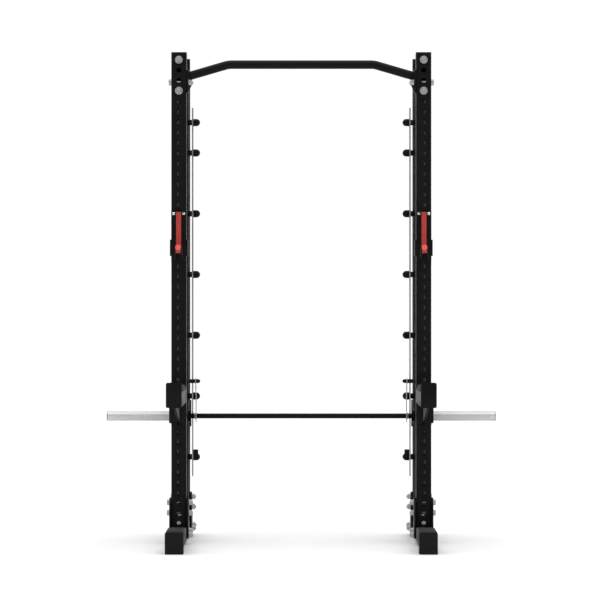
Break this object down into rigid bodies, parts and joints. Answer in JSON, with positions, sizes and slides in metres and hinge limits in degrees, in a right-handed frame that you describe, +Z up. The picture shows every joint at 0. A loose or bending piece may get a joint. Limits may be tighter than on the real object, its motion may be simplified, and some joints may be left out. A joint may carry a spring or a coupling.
{
  "type": "power cage",
  "caption": "Steel power cage with perforated uprights, a hooked guided bar on rods, racking pegs, bar rests, safety arms and a bent pull-up bar.",
  "frame": {"origin": "on the floor, under the middle of the cage's bounding box", "axes": "+Z up, +X across along the bars, +Y from the front (safety arms) to the back"},
  "size_m": [1.9448, 1.307, 2.422],
  "materials": {
    "black_paint": "satin powder coat",
    "zinc_steel": "satin zinc plate",
    "bright_steel": "ground and polished",
    "sleeve_steel": "satin with fine cross ridges",
    "dark_steel": "dark phosphate",
    "bronze": "turned",
    "red_plastic": "satin moulded",
    "black_rubber": "matt moulded",
    "black_oxide": "black oxide with fine knurl"
  },
  "bodies": {
    "cage": {"base_rail_left": "black_paint", "base_rail_right": "black_paint", "front_boot_left": "black_rubber", "front_boot_right": "black_rubber", "rear_boot_left": "black_rubber", "rear_boot_right": "black_rubber", "foot_plates_left": "black_paint", "foot_plates_right": "black_paint", "front_upright_left": "black_paint", "front_upright_right": "black_paint", "rear_upright_left": "black_paint", "rear_upright_right": "black_paint", "upright_caps": "black_rubber", "top_tie_left": "black_paint", "top_tie_right": "black_paint", "pull_up_bar": "black_paint", "pull_up_plates": "black_paint", "foot_bolts": "zinc_steel", "foot_nuts": "zinc_steel", "tie_bolts": "zinc_steel", "top_nuts": "zinc_steel", "pull_up_bolts": "zinc_steel", "guide_rod_left": "dark_steel", "guide_rod_right": "dark_steel", "rod_mounts": "black_paint", "mount_screws": "zinc_steel", "catch_post_left": "black_paint", "catch_post_right": "black_paint", "catch_plate_left": "zinc_steel", "catch_plate_right": "zinc_steel", "catch_pegs": "black_paint", "peg_spacers": "dark_steel", "peg_nuts": "zinc_steel"},
    "carriage": {"carriage_left": "black_paint", "carriage_right": "black_paint", "linear_bushes": "bronze", "bar_bearings": "bright_steel"},
    "guided_bar": {"bar_shaft": "black_oxide", "hook_left": "zinc_steel", "hook_right": "zinc_steel", "hook_handle_left": "black_rubber", "hook_handle_right": "black_rubber"},
    "left_sleeve": {"sleeve_left": "sleeve_steel", "sleeve_bushes_left": "bronze", "sleeve_cap_left": "zinc_steel"},
    "left_rest": {"bar_rest_left": "black_paint", "rest_core_left": "red_plastic", "rest_bolt_left": "bright_steel"},
    "left_arm": {"safety_arm_left": "black_paint", "arm_pad_left": "black_rubber"},
    "left_stop": {"bar_stop_left": "black_rubber"},
    "right_sleeve": {"sleeve_right": "sleeve_steel", "sleeve_bushes_right": "bronze", "sleeve_cap_right": "zinc_steel"},
    "right_rest": {"bar_rest_right": "black_paint", "rest_core_right": "red_plastic", "rest_bolt_right": "bright_steel"},
    "right_arm": {"safety_arm_right": "black_paint", "arm_pad_right": "black_rubber"},
    "right_stop": {"bar_stop_right": "black_rubber"}
  },
  "joints": [
    {"name": "bar_lift", "type": "slide", "parent": "cage", "child": "carriage", "axis": [0, 0, 1], "range_m": [0, 1.2192]},
    {"name": "bar_turn", "type": "hinge", "parent": "carriage", "child": "guided_bar", "pos_m": [0, 0.2135, 0.6233], "axis": [-1, 0, 0], "range_deg": [0, 24]},
    {"name": "left_sleeve_spin", "type": "hinge", "parent": "guided_bar", "child": "left_sleeve", "pos_m": [-0.802, 0.2135, 0.6233], "axis": [1, 0, 0], "continuous": true},
    {"name": "left_rest_pull", "type": "slide", "parent": "cage", "child": "left_rest", "axis": [0, -1, 0], "range_m": [0, 0.12]},
    {"name": "left_arm_pull", "type": "slide", "parent": "cage", "child": "left_arm", "axis": [0, -1, 0], "range_m": [0, 0.12]},
    {"name": "left_stop_pull", "type": "slide", "parent": "cage", "child": "left_stop", "axis": [1, 0, 0], "range_m": [0, 0.05]},
    {"name": "right_sleeve_spin", "type": "hinge", "parent": "guided_bar", "child": "right_sleeve", "pos_m": [0.802, 0.2135, 0.6233], "axis": [1, 0, 0], "continuous": true},
    {"name": "right_rest_pull", "type": "slide", "parent": "cage", "child": "right_rest", "axis": [0, -1, 0], "range_m": [0, 0.12]},
    {"name": "right_arm_pull", "type": "slide", "parent": "cage", "child": "right_arm", "axis": [0, -1, 0], "range_m": [0, 0.12]},
    {"name": "right_stop_pull", "type": "slide", "parent": "cage", "child": "right_stop", "axis": [-1, 0, 0], "range_m": [0, 0.05]}
  ]
}
